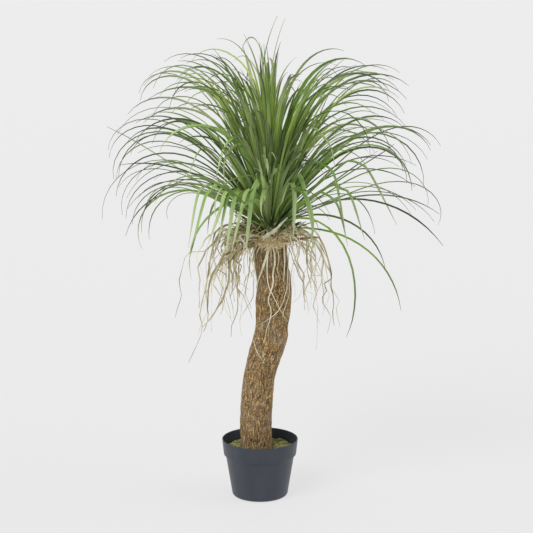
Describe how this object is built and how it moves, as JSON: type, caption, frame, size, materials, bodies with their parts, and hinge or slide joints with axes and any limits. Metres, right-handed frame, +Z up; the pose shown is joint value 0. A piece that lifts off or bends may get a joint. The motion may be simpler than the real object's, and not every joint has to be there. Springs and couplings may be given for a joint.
{
  "type": "potted grass tree",
  "caption": "House plant with a bent fibrous trunk, a round head of arching strap leaves and a skirt of dry strips, standing in a tapered nursery pot filled with soil under moss.",
  "frame": {"origin": "centre of the pot's flat base, at the surface it stands on", "axes": "+Z up, +X to the right and +Y away from the side the plant is usually seen from"},
  "size_m": [0.6903, 0.6737, 1.0003],
  "materials": {
    "pot": "satin moulded slate grey plastic",
    "soil": "packed dark gritty soil",
    "moss": "dull tufted olive moss",
    "bark": "rough fibrous brown bark",
    "leaf": "satin ribbed green strap leaf",
    "straw": "dry cream and tan strips"
  },
  "bodies": {
    "root": {"pot": "pot", "soil": "soil", "moss": "moss", "trunk": "bark", "leaf_head": "leaf", "dry_skirt": "straw"}
  },
  "joints": []
}
